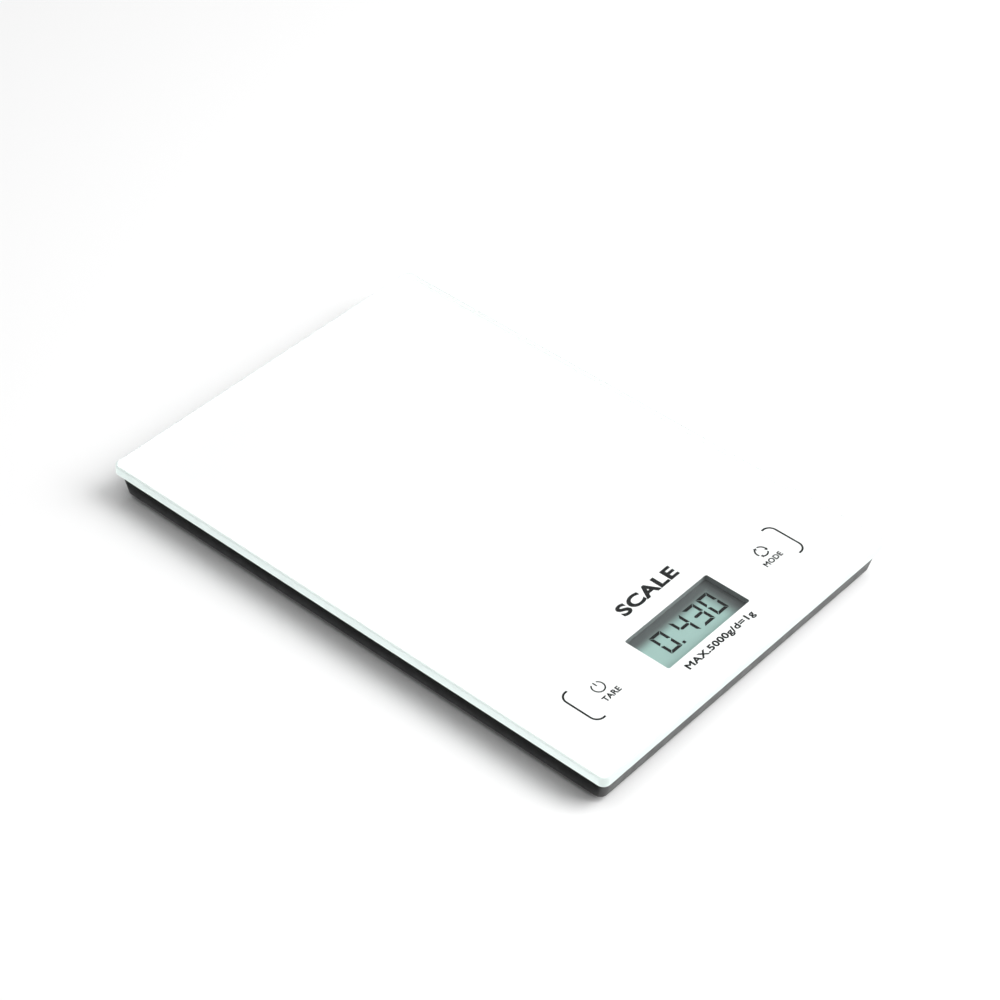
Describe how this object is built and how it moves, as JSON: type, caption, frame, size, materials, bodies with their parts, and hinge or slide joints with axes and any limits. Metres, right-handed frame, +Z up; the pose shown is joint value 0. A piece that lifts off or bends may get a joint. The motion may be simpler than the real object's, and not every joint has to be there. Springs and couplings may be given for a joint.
{
  "type": "kitchen scale",
  "caption": "Slim digital kitchen scale: a white-backed glass weighing platform on a shallow black housing, with a small display between touch keys and feet that bear on load cells.",
  "frame": {"origin": "on the surface the scale stands on, under the middle of the platform", "axes": "+X to the reader's right along the short side, +Y away from the reader along the long side, +Z up; the display is at the -Y end"},
  "size_m": [0.16, 0.23, 0.016],
  "materials": {
    "platform_glass": "polished",
    "white_enamel": "gloss",
    "foam_tape": "matte",
    "black_housing": "satin",
    "grey_bezel": "matte",
    "display_glass": "polished",
    "display_reflector": "matte",
    "connector_rubber": "matte",
    "board_green": "satin",
    "chip_black": "matte",
    "spring_steel": "satin",
    "screw_steel": "satin",
    "cell_steel": "satin",
    "lead_insulation": "satin",
    "plate_steel": "satin",
    "gauge_film": "satin",
    "black_foot": "matte",
    "pad_rubber": "matte"
  },
  "bodies": {
    "scale": {"glass_platform": "platform_glass", "white_print": "white_enamel", "adhesive_tape": "foam_tape", "lcd_gasket": "foam_tape", "glass_carrier": "black_housing", "bottom_cover": "black_housing", "lcd_bezel": "grey_bezel", "lcd_front_glass": "display_glass", "lcd_rear_glass": "display_glass", "lcd_reflector": "display_reflector", "zebra_strips": "connector_rubber", "circuit_board": "board_green", "controller_chip": "chip_black", "converter_chip": "chip_black", "board_components": "chip_black", "touch_spring_left": "spring_steel", "touch_spring_right": "spring_steel", "battery_contact_negative": "spring_steel", "battery_contact_positive": "spring_steel", "housing_screws": "screw_steel", "board_screws": "screw_steel", "load_cell_screws": "screw_steel", "coin_cell": "cell_steel", "battery_leads": "lead_insulation", "load_cell_front_left": "plate_steel", "strain_gauge_front_left": "gauge_film", "sensor_leads_front_left": "lead_insulation", "load_cell_front_right": "plate_steel", "strain_gauge_front_right": "gauge_film", "sensor_leads_front_right": "lead_insulation", "load_cell_rear_left": "plate_steel", "strain_gauge_rear_left": "gauge_film", "sensor_leads_rear_left": "lead_insulation", "load_cell_rear_right": "plate_steel", "strain_gauge_rear_right": "gauge_film", "sensor_leads_rear_right": "lead_insulation"},
    "foot_front_left": {"foot_cap_front_left": "black_foot", "foot_pad_front_left": "pad_rubber"},
    "foot_front_right": {"foot_cap_front_right": "black_foot", "foot_pad_front_right": "pad_rubber"},
    "foot_rear_left": {"foot_cap_rear_left": "black_foot", "foot_pad_rear_left": "pad_rubber"},
    "foot_rear_right": {"foot_cap_rear_right": "black_foot", "foot_pad_rear_right": "pad_rubber"},
    "door": {"battery_door": "black_housing", "door_latch": "black_housing", "door_pad": "foam_tape"}
  },
  "joints": [
    {"name": "foot_front_left_slide", "type": "slide", "parent": "scale", "child": "foot_front_left", "axis": [0, 0, 1], "range_m": [0, 0.0003], "stiffness_N_per_m": 300, "springref_m": -0.005, "deforming": ["load_cell_front_left"]},
    {"name": "foot_front_right_slide", "type": "slide", "parent": "scale", "child": "foot_front_right", "axis": [0, 0, 1], "range_m": [0, 0.0003], "stiffness_N_per_m": 300, "springref_m": -0.005, "deforming": ["load_cell_front_right"]},
    {"name": "foot_rear_left_slide", "type": "slide", "parent": "scale", "child": "foot_rear_left", "axis": [0, 0, 1], "range_m": [0, 0.0003], "stiffness_N_per_m": 300, "springref_m": -0.005, "deforming": ["load_cell_rear_left"]},
    {"name": "foot_rear_right_slide", "type": "slide", "parent": "scale", "child": "foot_rear_right", "axis": [0, 0, 1], "range_m": [0, 0.0003], "stiffness_N_per_m": 300, "springref_m": -0.005, "deforming": ["load_cell_rear_right"]},
    {"name": "battery_door_hinge", "type": "hinge", "parent": "scale", "child": "door", "pos_m": [0, -0.031, 0.004], "axis": [1, 0, 0], "range_deg": [0, 95], "deforming": ["door_latch"]}
  ]
}
